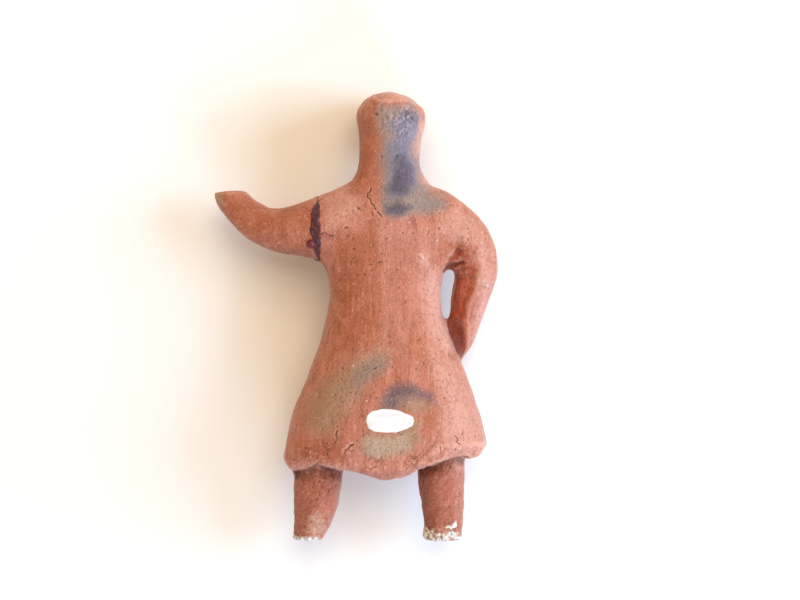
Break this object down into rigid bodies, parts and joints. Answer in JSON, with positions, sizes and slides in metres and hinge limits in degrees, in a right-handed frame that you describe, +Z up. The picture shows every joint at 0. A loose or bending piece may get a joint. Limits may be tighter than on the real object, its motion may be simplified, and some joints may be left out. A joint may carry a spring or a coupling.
{
  "type": "broken terracotta figurine",
  "caption": "Hand-modelled fired-clay figure in a flared tunic, lying face down: one arm bent to the hip, the other broken at the wrist and mended at the shoulder, legs broken below the hem.",
  "frame": {"origin": "under the middle of the outline, on the surface that the figure lies on", "axes": "+Y towards the crown of the head, +X towards the bent arm, +Z up through the back"},
  "size_m": [0.0666, 0.1052, 0.0274],
  "materials": {
    "terracotta": null,
    "dried_glue": "old hardened adhesive, dark purple-brown, slightly glossy"
  },
  "bodies": {
    "root": {"figure": "terracotta", "glue_seam": "dried_glue"}
  },
  "joints": []
}
